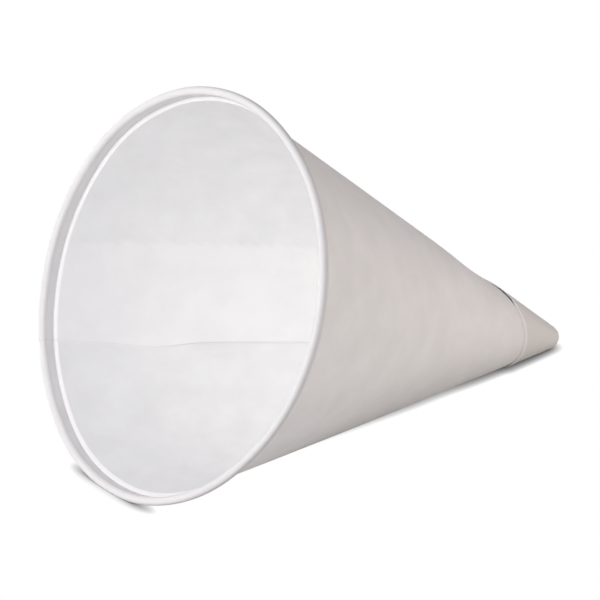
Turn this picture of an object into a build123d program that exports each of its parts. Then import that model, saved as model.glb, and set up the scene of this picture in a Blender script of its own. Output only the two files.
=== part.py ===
from build123d import *
from math import asin, atan2, cos, degrees, hypot, radians, sin, tan
import os

# Cone paper cup, wound from one sheet, lying on its side as it comes to rest.
# The origin is on the floor under the middle of the cup. X runs from the mouth to the tip,
# Z is up. Lengths are in millimetres and angles in degrees.

# Sheet and cone
paper = 0.2                # thickness of the sheet
half_angle = 20.7          # between the wall and the cup's axis
rim_diameter = 72.0        # over the rolled rim
collar_length = 1.7        # from the ledge up to the middle of the rolled rim
ledge_width = 0.75         # step from the collar in to the wall
ledge_rise = 0.15          # height gained across that step

# Rolled rim, a hook that the sheet's edge makes from the collar outwards and down
roll_diameter = 1.5        # of the hook's section
roll_turn = 300            # angle through which the sheet is rolled
roll_steps = 10            # facets round the hook

# Side seam, whose angles are about the axis, from the far side towards the top
seam_angle = -32.0         # inner edge, which runs straight from the rim to the tip
seam_width = 16.6          # from the inner edge to the outer edge on the flat sheet
climb_angle = 6.5          # turn that the sheet takes to climb onto its inner edge

# Tip
tip_radius = 2.1           # of the blunt tip
plug_height = 7.0          # up to which the tightly wound tip has no hollow

# Rest on the floor
flat_depth = 0.15          # flat on the rolled rim, pressed by the cup's own weight
tip_gap = 0.02             # left under the tip

# Cone in its own terms: height along the axis from the wall's inner point, and radius
slope = tan(radians(half_angle))
rim_radius = rim_diameter / 2
roll_radius = roll_diameter / 2
roll_middle = rim_radius - roll_radius
collar_radius = rim_radius - roll_diameter
wall_radius = collar_radius - ledge_width
wall_height = wall_radius / slope
ledge_height = wall_height + ledge_rise
rim_height = ledge_height + collar_length
skin = paper / cos(radians(half_angle))
tip_middle = tip_radius / sin(radians(half_angle)) - 2 * skin / slope

# Rest: the floor flattens the rolled rim and is just under the tip
reach = (rim_height - tip_middle, roll_middle)
drop = (roll_radius - flat_depth) - (tip_radius + tip_gap)
lift_angle = atan2(reach[1], reach[0]) + asin(drop / hypot(*reach))
rise, run = sin(lift_angle), cos(lift_angle)
mouth_end = rim_height * run + roll_middle * rise + roll_radius
tip_end = tip_middle * run - tip_radius
apex = Vector((mouth_end + tip_end) / 2, 0, tip_radius + tip_gap - tip_middle * rise)
to_mouth = Vector(-run, 0, rise)
to_far = Vector(0, 1, 0)
cup_axis = Axis(apex, to_mouth)

# Plane through the axis: X is the radius and Y the height along the axis
lengthwise = Plane(origin=apex, x_dir=to_far, z_dir=to_far.cross(to_mouth))


def across(height):
    """Plane square to the axis, with its X to the far side and its Y to the top."""
    return Plane(origin=apex + to_mouth * height, x_dir=to_far, z_dir=-to_mouth)


def wall(height, layer=0):
    """Radius of the wall's inner face, or of the face that many layers further out."""
    return height * slope + layer * skin


def polar(radius, angle):
    """A point of a cross-section, by radius and angle about the axis."""
    return (radius * cos(radians(angle)), radius * sin(radians(angle)))


def outer_edge(turn):
    """Plan of the outer edge, a straight line on the flat sheet, so many degrees from the seam."""
    flat_angle = radians(turn) * sin(radians(half_angle))
    return polar(seam_width * sin(radians(half_angle)) / sin(flat_angle), seam_angle + turn)


def climb(height, layer):
    """Section of the wedge by which the sheet climbs off that layer, with its back sunk below."""
    return [
        polar(wall(height, layer), seam_angle - climb_angle),
        polar(wall(height, layer + 1), seam_angle),
        polar(wall(height, layer - 0.5), seam_angle),
        polar(wall(height, layer - 0.5), seam_angle - climb_angle),
    ]


def rolled(radius):
    """Points round the hook, from the collar over the rim and down to its end."""
    turns = [180 - roll_turn * step / roll_steps for step in range(roll_steps + 1)]
    return [(roll_middle + x, rim_height + y) for x, y in (polar(radius, turn) for turn in turns)]


# Second layer of the sheet: from the inner edge to the outer one, which leaves the rim
# beside the inner edge and goes once round to end near the tip
lap_top = rim_height - roll_radius - paper / 2
plan_radius = rim_radius + roll_diameter
first_turn = degrees(asin(seam_width * sin(radians(half_angle)) / plan_radius))
first_turn = first_turn / sin(radians(half_angle))
edge_steps = 20
edge_turns = [first_turn + (360 - first_turn) * (i / edge_steps) ** 1.5 for i in range(edge_steps + 1)]

with BuildPart() as lap:
    with BuildSketch(lengthwise):
        with BuildLine():
            Polyline(
                (wall(plug_height, 1), plug_height),
                (wall(wall_height - paper, 1), wall_height - paper),
                (collar_radius + paper, ledge_height - paper),
                (collar_radius + paper, lap_top),
            )
            offset(amount=paper, side=Side.RIGHT, kind=Kind.INTERSECTION)
        make_face()
    revolve(axis=cup_axis)
    with BuildSketch(across(0)):
        with BuildLine():
            edge_line = Spline([outer_edge(turn) for turn in edge_turns])
            Line(edge_line @ 1, polar(plan_radius, seam_angle))
            RadiusArc(polar(plan_radius, seam_angle), edge_line @ 0, -plan_radius)
        make_face()
    extrude(amount=-rim_height, mode=Mode.INTERSECT)

# The cup
with BuildPart() as cone_cup:
    # Wall, ledge and collar, with the rim rolled outwards
    with BuildSketch(lengthwise):
        with BuildLine():
            Polyline(
                (wall(plug_height), plug_height),
                (wall_radius, wall_height),
                (collar_radius, ledge_height),
                (collar_radius, rim_height),
            )
            offset(amount=paper, side=Side.RIGHT, kind=Kind.INTERSECTION)
        make_face()
        with BuildLine():
            Polyline(*rolled(roll_radius), *reversed(rolled(roll_radius - paper)), close=True)
        make_face()
    revolve(axis=cup_axis)

    # Blunt tip, wound tight
    with BuildSketch(lengthwise):
        with BuildLine():
            tip_side = (tip_radius * cos(radians(half_angle)), tip_middle - tip_radius * sin(radians(half_angle)))
            TangentArc((0, tip_middle - tip_radius), tip_side, tangent=(1, 0))
            Polyline(
                tip_side,
                (wall(plug_height, 2), plug_height),
                (0, plug_height),
                (0, tip_middle - tip_radius),
            )
        make_face()
    revolve(axis=cup_axis)

    # Second layer, and the climb onto the inner edge, outside
    add(lap.part)
    for height in (plug_height, wall_height - paper):
        with BuildSketch(across(height)):
            with BuildLine():
                Polyline(*climb(height, 1), close=True)
            make_face()
    loft(ruled=True)

    # Groove that the climb leaves beside the inner edge, inside
    for height in (plug_height, wall_height - 2 * paper):
        with BuildSketch(across(height)):
            with BuildLine():
                Polyline(*climb(height, 0), close=True)
            make_face()
    loft(ruled=True, mode=Mode.SUBTRACT)

    # Flat on the rolled rim
    split(bisect_by=Plane.XY, keep=Keep.TOP)

os.makedirs("parts", exist_ok=True)
cone_cup.part.label = "cone_cup"
export_step(cone_cup.part, "parts/cone_cup.step")
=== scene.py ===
from math import asin, atan2, cos, hypot, pi, radians, sin, tan

import bmesh
import bpy
import numpy as np
from mathutils import Matrix, Vector


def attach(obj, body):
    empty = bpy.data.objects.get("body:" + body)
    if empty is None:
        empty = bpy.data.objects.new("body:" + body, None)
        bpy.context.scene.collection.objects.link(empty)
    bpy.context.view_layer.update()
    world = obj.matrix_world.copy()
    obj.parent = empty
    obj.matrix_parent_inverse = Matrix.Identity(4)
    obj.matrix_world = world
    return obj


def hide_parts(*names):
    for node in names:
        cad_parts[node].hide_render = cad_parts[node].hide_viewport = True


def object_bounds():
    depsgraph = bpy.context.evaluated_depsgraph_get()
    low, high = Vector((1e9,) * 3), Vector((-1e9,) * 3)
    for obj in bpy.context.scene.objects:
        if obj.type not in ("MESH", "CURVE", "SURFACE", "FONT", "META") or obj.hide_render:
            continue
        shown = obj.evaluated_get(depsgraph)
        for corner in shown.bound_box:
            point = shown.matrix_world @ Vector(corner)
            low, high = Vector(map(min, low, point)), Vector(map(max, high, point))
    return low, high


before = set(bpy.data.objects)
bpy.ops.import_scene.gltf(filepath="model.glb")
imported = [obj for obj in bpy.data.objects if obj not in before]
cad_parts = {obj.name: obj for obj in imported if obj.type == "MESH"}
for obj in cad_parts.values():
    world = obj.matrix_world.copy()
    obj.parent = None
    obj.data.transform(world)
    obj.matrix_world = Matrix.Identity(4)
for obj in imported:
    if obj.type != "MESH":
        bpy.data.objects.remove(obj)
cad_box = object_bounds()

# Cone paper cup as one wound sheet. Lengths are in millimetres until the mesh is made, in metres.
METRE = 0.001

# Sheet and cone, as in the part
PAPER = 0.2
HALF_ANGLE = radians(20.7)
ROLL_RADIUS = 0.75
COLLAR_LENGTH = 1.7
LEDGE_WIDTH = 0.75
LEDGE_RISE = 0.15
SEAM_ANGLE = radians(-32.0)
SEAM_WIDTH = 16.6
CLIMB_ANGLE = radians(6.5)
TIP_RADIUS = 2.1
FLAT_DEPTH = 0.15
TIP_GAP = 0.02

# Sheet's own details
ROLL_TURN = radians(340)      # how far the rim is rolled
FOLD_LENGTH = 0.3             # of sheet, over which it bends at the ledge
CAP_TOP = 30.0                # of sheet from the tip, where the lap's strip ends and the cap starts

# Outer edge: pressed thin, with a painted highlight along it where it would catch the light, and
# round the tip lifted at two places, whose sides are degrees about the axis
PRESSED_REACH = 0.7           # from the edge
PRESSED_SHARE = 0.7           # of the thickness that is lost at the edge itself
# Reach of the painted highlight along the outer edge, from the edge
HIGHLIGHT_START, HIGHLIGHT_END = 0.5, 1.1
LIFT_REACH = 1.1
LIFT_FADE = (30, 42)          # of sheet from the tip, over which the lift of the edge ends
TOP_LIFT, TOP_LIFT_RISE, TOP_LIFT_FALL = 0.2, (90, 108), (116, 128)
LOW_LIFT, LOW_LIFT_SIDE, LOW_LIFT_WIDTH = 0.12, 234, 12

# Inner edge, which runs a little below a straight line, with one dip nearer the rim.
# Places are lengths of sheet from the tip
EDGE_DROP, DROP_RISE, DROP_FALL = 0.5, (38, 48), (91, 95)
EDGE_DIP, DIP_MIDDLE, DIP_WIDTH = 0.85, 78, 6
EDGE_SPREAD = 0.2             # radians beside the edge, in which the sheet strays with it

# Waist above the cap, by height along the axis
WAIST_HEIGHT, WAIST_WIDTH = 29, 5.5
WAIST_DEPTH, WAIST_TOP_DEPTH = 0.12, 0.18

# Cup out of round, as photographed: height lost on one side, an oval and a slight triangle
SKEW, SKEW_SIDE = 0.014554, 0.0
OVAL, OVAL_SIDE = 0.03385, 5.511878
TRIANGLE, TRIANGLE_SIDE = 0.008942, 0.712957
LOWEST_SIDE = 1.5 * pi

# Camera, in metres
CAMERA_PLACE = Vector((-0.6630256, -0.8587365, 0.5378047))
CAMERA_FORWARD = Vector((0.5475886, 0.7184956, -0.4288482))
CAMERA_UP = Vector((0.2644264, 0.3376616, 0.9033622))
CAMERA_LENS = 421.79

# Worked out from the above and from the frame's box
SINE, COSINE = sin(HALF_ANGLE), cos(HALF_ANGLE)
SKIN = PAPER / COSINE
RIM_RADIUS = cad_box[1].y / METRE
ROLL_MIDDLE = RIM_RADIUS - ROLL_RADIUS
WALL_RADIUS = RIM_RADIUS - 2 * ROLL_RADIUS - LEDGE_WIDTH
WALL_HEIGHT = WALL_RADIUS / tan(HALF_ANGLE)
RIM_HEIGHT = WALL_HEIGHT + LEDGE_RISE + COLLAR_LENGTH
TIP_MIDDLE = TIP_RADIUS / SINE - 2 * SKIN / tan(HALF_ANGLE)
REACH = RIM_HEIGHT - TIP_MIDDLE
DROP = (ROLL_RADIUS - FLAT_DEPTH) - (TIP_RADIUS + TIP_GAP)
LIFT = atan2(ROLL_MIDDLE, REACH) + asin(DROP / hypot(ROLL_MIDDLE, REACH))
TO_MOUTH = np.array((-cos(LIFT), 0, sin(LIFT)))
TO_FAR = np.array((0, 1.0, 0))
TO_TOP = np.array((sin(LIFT), 0, cos(LIFT)))
APEX = np.array((
    cad_box[1].x / METRE + TIP_MIDDLE * cos(LIFT) - TIP_RADIUS,
    0,
    TIP_RADIUS + TIP_GAP - TIP_MIDDLE * sin(LIFT),
))


def smooth(value, start, end):
    """0 before start, 1 after end, and a smooth climb between them."""
    t = np.clip((np.asarray(value, float) - start) / (end - start), 0, 1)
    return t * t * (3 - 2 * t)


# Length along the sheet from the tip: where the tip's ball, the ledge, the collar and the roll start
BALL_RADIUS = TIP_RADIUS - 2 * PAPER
BALL_END = TIP_MIDDLE * COSINE
PATH_START = BALL_END - BALL_RADIUS * (pi / 2 - HALF_ANGLE)
LEDGE_START = WALL_HEIGHT / COSINE
COLLAR_START = LEDGE_START + hypot(LEDGE_WIDTH, LEDGE_RISE)
ROLL_START = COLLAR_START + COLLAR_LENGTH
PATH_END = ROLL_START + ROLL_RADIUS * ROLL_TURN


def profile():
    """Sheet's section as tables of path, radius, height and direction, from its bends."""
    path = np.linspace(PATH_START, PATH_END, 8001)
    ledge_bend = pi / 2 - HALF_ANGLE - atan2(LEDGE_RISE, LEDGE_WIDTH)
    collar_bend = pi / 2 - atan2(LEDGE_RISE, LEDGE_WIDTH)
    half = FOLD_LENGTH / 2
    direction = np.full(len(path), pi / 2 - HALF_ANGLE)
    direction -= np.clip(BALL_END - path, 0, None) / BALL_RADIUS
    direction -= ledge_bend * smooth(path, LEDGE_START - half, LEDGE_START + half)
    direction += collar_bend * smooth(path, COLLAR_START - half, COLLAR_START + half)
    direction -= np.clip(path - ROLL_START, 0, None) / ROLL_RADIUS
    step = path[1] - path[0]
    radius = np.concatenate(([0], np.cumsum(np.cos(direction)[:-1]))) * step
    height = np.concatenate(([0], np.cumsum(np.sin(direction)[:-1]))) * step
    return path, radius, TIP_MIDDLE - BALL_RADIUS + height, direction


PROFILE = profile()


def section(path):
    """Radius, height and outward normal of the sheet's inner face at these lengths along it."""
    radius, height, direction = (np.interp(path, PROFILE[0], column) for column in PROFILE[1:])
    return radius, height, np.sin(direction), -np.cos(direction)


def layer(turn):
    """How many layers lie under the sheet, so many radians round from its inner edge."""
    laps = np.floor(turn / (2 * pi) + 1e-9)
    return laps + smooth(turn - laps * 2 * pi, 2 * pi - CLIMB_ANGLE, 2 * pi)


def outer_edge_path(turn):
    """Where the outer edge is at that turn past the seam, a straight line on the flat sheet."""
    return SEAM_WIDTH / np.sin(np.clip(turn * SINE, 1e-6, pi - 1e-6))


def outer_edge_turn(path):
    """Turn past the seam at which the outer edge crosses that length of the sheet."""
    return np.arcsin(SEAM_WIDTH / path) / SINE


def bell(value, middle, width):
    """1 at the middle, falling to 0 on both sides of it."""
    return np.exp(-(((value - middle) / width) ** 2))


def near_edge(turn, path, start, end):
    """1 on the second layer's outer edge, 0 away from it, with the fall from start to end."""
    away = outer_edge_path(np.clip(turn - 2 * pi, 1e-6, None)) - path
    return np.where(turn > 2 * pi, 1 - smooth(away, start, end), 0)


def edge_lift(turn, path):
    """How far the cap round the tip stands off the wall beside its edge."""
    side = np.degrees(turn + SEAM_ANGLE)
    away = np.clip(outer_edge_path(turn) - path, 0, None)
    amount = TOP_LIFT * smooth(side, *TOP_LIFT_RISE) * (1 - smooth(side, *TOP_LIFT_FALL))
    amount += LOW_LIFT * bell(side, LOW_LIFT_SIDE, LOW_LIFT_WIDTH)
    near_tip = 1 - smooth(outer_edge_path(turn), *LIFT_FADE)
    return amount * near_tip * np.exp(-((away / LIFT_REACH) ** 1.5))


def thickness(turn, path, face):
    """Distance of a face from the sheet's inner one, less where the outer edge is pressed thin."""
    return face * PAPER * (1 - PRESSED_SHARE * near_edge(turn, path, 0, PRESSED_REACH))


def edge_wave(turn, path):
    """Turn by which the inner edge and the sheet beside it stray from a straight line."""
    drop = EDGE_DROP * smooth(path, *DROP_RISE) * (1 - smooth(path, *DROP_FALL))
    drop += EDGE_DIP * bell(path, DIP_MIDDLE, DIP_WIDTH)
    beside = (turn + pi) % (2 * pi) - pi
    return -drop / np.clip(path * SINE, 4, None) * bell(beside, 0, EDGE_SPREAD)


def unevenness(side, height):
    """Small waves of the paper, out from the axis, and a slight waist above the cap."""
    share = np.clip(height / RIM_HEIGHT, 0, 1)
    waves = 0.05 * np.sin(4 * side + 0.7) + 0.04 * np.sin(7 * side + 2.0 + height * 0.02)
    waves += 0.03 * np.sin(11 * side + 4.1 - height * 0.03)
    waist = bell(height, WAIST_HEIGHT, WAIST_WIDTH)
    return share * waves - waist * (WAIST_DEPTH + WAIST_TOP_DEPTH * np.clip(np.sin(side), 0, 1) ** 2)


def out_of_round(side):
    """Share by which the mouth's radius grows on that side."""
    return OVAL * np.cos(2 * (side - OVAL_SIDE)) + TRIANGLE * np.cos(3 * (side - TRIANGLE_SIDE))


def place(turn, path, face):
    """Points of the sheet, by turn from the inner edge, length from the tip, and face 0 or 1."""
    turn, path = np.broadcast_arrays(np.asarray(turn, float), np.asarray(path, float))
    side = turn + SEAM_ANGLE + edge_wave(turn, path)
    radius, height, out, along = section(path)
    depth = layer(turn) * PAPER + thickness(turn, path, face)
    past = turn - 2 * pi
    depth = depth + np.where(past > -1e-9, edge_lift(np.clip(past, 1e-6, None), path), 0)
    height = height + along * depth
    radius = np.clip(radius + out * depth, 0, None)
    radius = radius + unevenness(side, height) * np.clip(radius / 4, 0, 1)
    share = height / RIM_HEIGHT
    radius = radius * (1 + share * out_of_round(side))
    height = height - ROLL_MIDDLE * SKEW * share * (1 + np.cos(side - SKEW_SIDE))

    # The cup moves up or down by what its lowest side gained or lost
    settled = share * ROLL_MIDDLE * out_of_round(LOWEST_SIDE)
    across, up = radius * np.cos(side), radius * np.sin(side) + settled
    points = APEX + height[..., None] * TO_MOUTH + across[..., None] * TO_FAR + up[..., None] * TO_TOP

    # Nothing lies below the floor. Face 1, which the roll turns inwards, stays half a sheet above it
    points[..., 2] = np.clip(points[..., 2], face * PAPER * 0.5, None)
    return points * METRE


def seam_share(turn, path):
    """1 where two layers of the sheet lie on each other, 0 where there is one."""
    past = np.where(turn > 2 * pi - 1e-6, 1.0, 0.0)
    return np.maximum(past, 1 - smooth(path - outer_edge_path(turn), -0.5, 0.5))


def rim_shade_share(path):
    """Where the rim's painted shade goes: 1 on the ledge and on the rolled rim, 0 on the wall and the
    collar.
    """
    ledge = smooth(path, LEDGE_START - 0.1, LEDGE_START + 0.1)
    ledge = ledge - smooth(path, COLLAR_START, COLLAR_START + 0.3)
    return ledge + smooth(path, ROLL_START - 0.3, ROLL_START + 0.3)


def collar_lap_and_glow_share(path):
    """1 on the collar, which has the rolled rim behind it; its whitening there is partly painted
    light, for light that comes through the paper.
    """
    ended = smooth(path, ROLL_START, ROLL_START + 0.3)
    return smooth(path, COLLAR_START, COLLAR_START + 0.2) * (1 - ended)


TONE_NAMES = ("double", "cap", "painted_edge_highlight", "rim")


def tone_shares(turn, path, face):
    """What the paper's colour needs to know at each point of a face of the sheet."""
    return {
        # Lap and collar: whiter where two layers reflect more, and on the collar also painted light
        # for light through the paper
        "double": np.maximum(seam_share(turn, path), collar_lap_and_glow_share(path)),
        # Cap's outer face: painted shade, for the light that its stacked layers let through less
        "cap": face * (1 - smooth(path, CAP_TOP - 2, CAP_TOP + 15)),
        # Painted highlight along the cap's outer edge, where it would catch the light
        "painted_edge_highlight": near_edge(turn, path, HIGHLIGHT_START, HIGHLIGHT_END),
        # Ledge and rolled rim: painted shade, so that their lit faces don't turn white
        "rim": rim_shade_share(path),
    }


def grid(mesh, turn, path, closed):
    """Adds both faces of a stretch of the sheet, and the cut edges on the sides that are named."""
    layers = [[[None] * turn.shape[1] for _ in range(turn.shape[0])] for _ in range(2)]
    for face in (0, 1):
        points = place(turn, path, face)
        shares = tone_shares(turn, path, face)
        for i in range(turn.shape[0]):
            for j in range(turn.shape[1]):
                vert = mesh.verts.new(points[i, j])
                for name, share in shares.items():
                    vert[mesh.verts.layers.float[name]] = share[i, j]
                layers[face][i][j] = vert
        rows = layers[face]
        for i in range(turn.shape[0] - 1):
            for j in range(turn.shape[1] - 1):
                mesh.faces.new((rows[i][j], rows[i][j + 1], rows[i + 1][j + 1], rows[i + 1][j]))
    inner, outer = layers
    borders = {
        "start": ([row[0] for row in inner], [row[0] for row in outer]),
        "end": ([row[-1] for row in inner], [row[-1] for row in outer]),
        "low": (inner[0], outer[0]),
        "high": (inner[-1], outer[-1]),
    }
    for name in closed:
        one, two = borders[name]
        for k in range(len(one) - 1):
            mesh.faces.new((one[k], one[k + 1], two[k + 1], two[k]))


def paper_sheet():
    """The wound sheet: one full turn, then the lap's strip, then the cap round the tip."""
    tip_rows = np.concatenate((
        np.linspace(PATH_START, BALL_END, 9)[:-1],
        np.linspace(BALL_END, CAP_TOP - 4, 17)[:-1],
        np.linspace(CAP_TOP - 4, CAP_TOP, 13),
    ))
    half = FOLD_LENGTH / 2
    high_rows = np.concatenate((
        np.linspace(CAP_TOP, LEDGE_START - half, 27)[:-1],
        np.linspace(LEDGE_START - half, LEDGE_START + half, 6)[:-1],
        np.linspace(LEDGE_START + half, COLLAR_START - half, 3)[:-1],
        np.linspace(COLLAR_START - half, COLLAR_START + half, 6)[:-1],
        np.linspace(COLLAR_START + half, ROLL_START, 5)[:-1],
        np.linspace(ROLL_START, PATH_END, 25),
    ))
    full_rows = np.concatenate((tip_rows[:-1], high_rows))

    mesh = bmesh.new()
    for name in TONE_NAMES:
        mesh.verts.layers.float.new(name)

    # First turn, with close columns where the sheet climbs onto its own edge
    turns = np.concatenate((
        np.linspace(0, 2 * pi - CLIMB_ANGLE, 225)[:-1],
        np.linspace(2 * pi - CLIMB_ANGLE, 2 * pi, 9),
    ))
    turn, path = np.meshgrid(turns, full_rows)
    grid(mesh, turn, path, ("start", "high"))

    # Strip of the lap, whose columns fan out to follow the outer edge
    fan = np.linspace(0, 1, 41)
    turn = 2 * pi + outer_edge_turn(high_rows)[:, None] * fan[None, :]
    path = np.repeat(high_rows[:, None], len(fan), axis=1)
    grid(mesh, turn, path, ("end", "high"))

    # Cap, whose rows shrink to follow the outer edge round the tip
    fan_end = outer_edge_turn(CAP_TOP)
    around = np.concatenate((
        fan_end * fan,
        np.linspace(fan_end, 2 * pi - CLIMB_ANGLE, 121)[1:],
        np.linspace(2 * pi - CLIMB_ANGLE, 2 * pi, 7)[1:],
    ))
    top = np.where(around <= fan_end + 1e-9, CAP_TOP, outer_edge_path(np.clip(around, fan_end, None)))
    share = (tip_rows - PATH_START) / (CAP_TOP - PATH_START)
    path = PATH_START + share[:, None] * (top - PATH_START)[None, :]
    turn = np.repeat(2 * pi + around[None, :], len(tip_rows), axis=0)
    grid(mesh, turn[:, len(fan) - 1:], path[:, len(fan) - 1:], ("end", "high"))
    grid(mesh, turn[:, :len(fan)], path[:, :len(fan)], ())

    bmesh.ops.remove_doubles(mesh, verts=mesh.verts, dist=2e-6)
    bmesh.ops.recalc_face_normals(mesh, faces=mesh.faces)
    for piece_face in mesh.faces:
        piece_face.smooth = True
    for edge in mesh.edges:
        if len(edge.link_faces) == 2 and edge.calc_face_angle(0) > radians(50):
            edge.smooth = False
    data = bpy.data.meshes.new("paper_sheet")
    mesh.to_mesh(data)
    mesh.free()
    piece = bpy.data.objects.new("paper_sheet", data)
    bpy.context.collection.objects.link(piece)
    return piece


class Nodes:
    """A material's node tree, with short calls to add and join nodes."""

    def __init__(self, name):
        self.material = bpy.data.materials.new(name)
        self.material.use_nodes = True
        self.tree = self.material.node_tree
        self.tree.nodes.clear()
        self.output = self.tree.nodes.new("ShaderNodeOutputMaterial")

    def add(self, kind, **values):
        node = self.tree.nodes.new("ShaderNode" + kind)
        for name, value in values.items():
            if name in node.inputs:
                node.inputs[name].default_value = value
            else:
                setattr(node, name, value)
        return node

    def join(self, source, target):
        self.tree.links.new(source, target)


def tint(nodes, attribute, colour):
    """Mix node whose second colour shows where the mesh attribute is 1."""
    share = nodes.add("Attribute", attribute_name=attribute)
    mix = nodes.add("Mix", data_type="RGBA")
    nodes.join(share.outputs["Fac"], mix.inputs["Factor"])
    mix.inputs[7].default_value = colour
    return mix


def mottled(nodes, noise, dark, pale):
    """Paper colour that goes from dark to pale with the noise."""
    ramp = nodes.add("ValToRGB")
    low, high = ramp.color_ramp.elements
    low.position, low.color = 0.3, dark
    high.position, high.color = 0.7, pale
    nodes.join(noise.outputs["Fac"], ramp.inputs["Fac"])
    return ramp.outputs["Color"]


def paper_material():
    """Uncoated white paper: cloudy fibre, a fine tooth, and whiter where it lies double, with painted
    shade on the cap and the rim and a painted highlight along the cap's edge.
    """
    nodes = Nodes("paper")
    shader = nodes.add("BsdfPrincipled")
    shader.inputs["Roughness"].default_value = 0.82
    shader.inputs["Specular IOR Level"].default_value = 0.3
    nodes.join(shader.outputs["BSDF"], nodes.output.inputs["Surface"])
    place_node = nodes.add("TexCoord")

    cloud = nodes.add("TexNoise", Scale=160.0, Detail=4.0, Roughness=0.6)
    nodes.join(place_node.outputs["Object"], cloud.inputs["Vector"])
    single = mottled(nodes, cloud, (0.86, 0.86, 0.852, 1), (0.92, 0.92, 0.91, 1))
    lapped = mottled(nodes, cloud, (0.915, 0.908, 0.9, 1), (0.96, 0.952, 0.943, 1))

    # The lap is whiter than the wall, as two layers reflect more; on the collar this whitening is
    # partly painted light for what comes through the paper. The cap's outer face, but for its edge,
    # is greyer as painted shade for the light its stacked layers let through less, and its edge has a
    # painted highlight. The creased ledge and the rolled rim are greyer as painted shade, so that
    # their lit faces stay off white.
    on_cap_shade = tint(nodes, "cap", (0.77, 0.765, 0.745, 1))
    # Paler edge of the cap: painted highlight
    on_edge_highlight = tint(nodes, "painted_edge_highlight", (0.95, 0.945, 0.93, 1))
    on_lap = tint(nodes, "double", (1, 1, 1, 1))
    # Greyer ledge and rolled rim: painted shade
    on_rim_shade = tint(nodes, "rim", (0.8, 0.79, 0.78, 1))
    nodes.join(lapped, on_cap_shade.inputs[6])
    nodes.join(on_cap_shade.outputs[2], on_edge_highlight.inputs[6])
    nodes.join(single, on_lap.inputs[6])
    nodes.join(on_edge_highlight.outputs[2], on_lap.inputs[7])
    nodes.join(on_lap.outputs[2], on_rim_shade.inputs[6])
    nodes.join(on_rim_shade.outputs[2], shader.inputs["Base Color"])

    tooth = nodes.add("TexNoise", Scale=2600.0, Detail=3.0, Roughness=0.65)
    nodes.join(place_node.outputs["Object"], tooth.inputs["Vector"])
    bump = nodes.add("Bump", Strength=0.12, Distance=0.0001)
    nodes.join(tooth.outputs["Fac"], bump.inputs["Height"])
    nodes.join(bump.outputs["Normal"], shader.inputs["Normal"])
    return nodes.material


def floor_material():
    """White to the camera, apart from the object's shadow close to where it touches."""
    nodes = Nodes("pale_floor")
    diffuse = nodes.add("BsdfDiffuse", Color=(0.6, 0.6, 0.6, 1))
    glow = nodes.add("Emission", Strength=1.0)
    shade = nodes.add("AmbientOcclusion", samples=16)
    shade.inputs["Distance"].default_value = 0.0015
    nodes.join(shade.outputs["Color"], glow.inputs["Color"])
    rays = nodes.add("LightPath")
    mix = nodes.add("MixShader")
    nodes.join(rays.outputs["Is Camera Ray"], mix.inputs["Fac"])
    nodes.join(diffuse.outputs["BSDF"], mix.inputs[1])
    nodes.join(glow.outputs["Emission"], mix.inputs[2])
    nodes.join(mix.outputs["Shader"], nodes.output.inputs["Surface"])
    return nodes.material


def make_floor():
    """Round floor under the cup."""
    mesh = bmesh.new()
    bmesh.ops.create_circle(mesh, cap_ends=True, segments=96, radius=3.0)
    data = bpy.data.meshes.new("floor")
    mesh.to_mesh(data)
    mesh.free()
    floor = bpy.data.objects.new("floor", data)
    floor.data.materials.append(floor_material())
    bpy.context.collection.objects.link(floor)


def soft_lamp(name, place_at, target, size, watts, colour):
    """Square area lamp that looks at the target."""
    data = bpy.data.lights.new(name, "AREA")
    data.size = size
    data.energy = watts
    data.color = colour
    lamp = bpy.data.objects.new(name, data)
    lamp.location = place_at
    lamp.rotation_euler = (Vector(target) - Vector(place_at)).to_track_quat("-Z", "Y").to_euler()
    bpy.context.collection.objects.link(lamp)


def light():
    """Soft lamps into the mouth, by the tip and on both sides, under a pale sky."""
    cup_middle = (0, 0, 0.03)
    soft_lamp("mouth_lamp", (-0.77, 0, 0.42), cup_middle, 0.3, 5.9, (1.0, 0.985, 0.985))
    soft_lamp("tip_lamp", (0.3, -0.25, 0.05), cup_middle, 0.16, 0.88, (1.0, 0.9, 0.8))
    soft_lamp("far_lamp", (0.15, 0.75, 0.12), cup_middle, 0.5, 3.0, (1.0, 0.95, 0.9))
    soft_lamp("front_lamp", (-0.45, -0.75, 0.3), cup_middle, 0.4, 0.5, (1, 1, 1))
    world = bpy.data.worlds.new("pale_sky")
    world.use_nodes = True
    tree = world.node_tree
    sky = tree.nodes["Background"]
    sky.inputs["Color"].default_value = (0.82, 0.81, 1, 1)
    sky.inputs["Strength"].default_value = 0.2
    backdrop = tree.nodes.new("ShaderNodeBackground")
    backdrop.inputs["Color"].default_value = (1, 1, 1, 1)
    rays = tree.nodes.new("ShaderNodeLightPath")
    mix = tree.nodes.new("ShaderNodeMixShader")
    tree.links.new(rays.outputs["Is Camera Ray"], mix.inputs["Fac"])
    tree.links.new(sky.outputs["Background"], mix.inputs[1])
    tree.links.new(backdrop.outputs["Background"], mix.inputs[2])
    tree.links.new(mix.outputs["Shader"], tree.nodes["World Output"].inputs["Surface"])
    bpy.context.scene.world = world


def make_camera():
    """Camera at the photograph's place and angle."""
    data = bpy.data.cameras.new("camera")
    data.sensor_width = 36.0
    data.lens = CAMERA_LENS
    data.clip_start, data.clip_end = 0.05, 20.0
    camera = bpy.data.objects.new("camera", data)
    right = CAMERA_FORWARD.cross(CAMERA_UP)
    axes = Matrix((right, CAMERA_UP, -CAMERA_FORWARD)).transposed()
    camera.matrix_world = Matrix.Translation(CAMERA_PLACE) @ axes.to_4x4()
    bpy.context.collection.objects.link(camera)
    bpy.context.scene.camera = camera


sheet = paper_sheet()
sheet.data.materials.append(paper_material())
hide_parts("cone_cup")
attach(sheet, "root")

make_floor()
light()
make_camera()
bpy.context.scene.view_settings.view_transform = "Standard"
